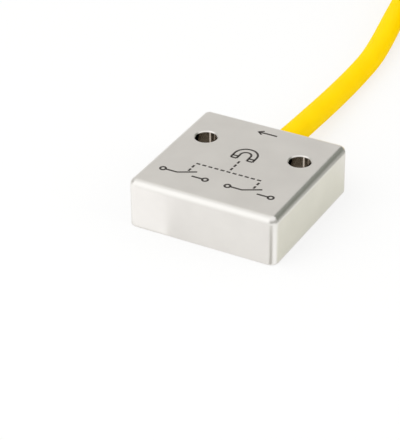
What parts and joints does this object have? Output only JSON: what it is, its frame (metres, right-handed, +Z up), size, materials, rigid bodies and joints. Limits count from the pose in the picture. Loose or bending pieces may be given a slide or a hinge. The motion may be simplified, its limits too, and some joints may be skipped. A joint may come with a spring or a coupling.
{
  "type": "magnetic field sensor",
  "caption": "Square sealed stainless steel sensor block for guard doors, with through holes for screws and a fixed yellow cable that ends in loose cores with ferrules.",
  "frame": {"origin": "middle of the housing's base, which the sensor is screwed down on", "axes": "+Z up out of the top face along the screw holes, +Y towards the side that the cable leaves, -Y the sensing side"},
  "size_m": [0.0625, 0.2255, 0.016],
  "materials": {
    "steel_housing": "stainless steel, blasted and passivated to a fine satin grey",
    "steel_plate": "rolled stainless sheet, cold-rolled finish",
    "capsule_plastic": "moulded grey polyamide",
    "seal_rubber": "black moulded nitrile rubber",
    "cable_sheath": "extruded yellow polyurethane sheath, smooth",
    "crimp_metal": "pressed brass",
    "board_laminate": "glass laminate under green solder resist",
    "comb_plastic": "moulded black polyamide",
    "solder_tin": "bright solder",
    "chip_black": "moulded epoxy",
    "casting_resin": "cast dark epoxy resin",
    "tie_nylon": "moulded black nylon",
    "reed_glass": "drawn green-tinted glass",
    "blade_metal": "bright nickel-iron",
    "core_brown": "extruded brown insulation",
    "core_white": "extruded white insulation",
    "core_blue": "extruded blue insulation",
    "core_black": "extruded black insulation",
    "strand_copper": "bare copper strands",
    "ferrule_plastic": "moulded light blue polypropylene",
    "ferrule_tin": "tinned copper tube, crimped"
  },
  "bodies": {
    "root": {"housing": "steel_housing", "base_plate": "steel_plate", "capsule": "capsule_plastic", "cable_seal": "seal_rubber", "cable_inner_end": "cable_sheath", "crimp_ring": "crimp_metal", "circuit_board": "board_laminate", "reed_comb": "comb_plastic", "solder_joints": "solder_tin", "surge_suppressor": "chip_black", "potting_resin": "casting_resin", "cable_lead": "cable_sheath", "cable_hank": "cable_sheath", "cable_ties": "tie_nylon", "reed_1_glass": "reed_glass", "reed_1_left_blade": "blade_metal", "reed_1_right_blade": "blade_metal", "reed_2_glass": "reed_glass", "reed_2_left_blade": "blade_metal", "reed_2_right_blade": "blade_metal", "reed_3_glass": "reed_glass", "reed_3_left_blade": "blade_metal", "reed_3_right_blade": "blade_metal", "reed_4_glass": "reed_glass", "reed_4_left_blade": "blade_metal", "reed_4_right_blade": "blade_metal", "resistor_1": "chip_black", "resistor_2": "chip_black", "resistor_3": "chip_black", "inner_core_brown": "core_brown", "inner_strands_brown": "strand_copper", "loose_core_brown": "core_brown", "ferrule_collar_brown": "ferrule_plastic", "ferrule_sleeve_brown": "ferrule_tin", "inner_core_white": "core_white", "inner_strands_white": "strand_copper", "loose_core_white": "core_white", "ferrule_collar_white": "ferrule_plastic", "ferrule_sleeve_white": "ferrule_tin", "inner_core_blue": "core_blue", "inner_strands_blue": "strand_copper", "loose_core_blue": "core_blue", "ferrule_collar_blue": "ferrule_plastic", "ferrule_sleeve_blue": "ferrule_tin", "inner_core_black": "core_black", "inner_strands_black": "strand_copper", "loose_core_black": "core_black", "ferrule_collar_black": "ferrule_plastic", "ferrule_sleeve_black": "ferrule_tin"}
  },
  "joints": []
}
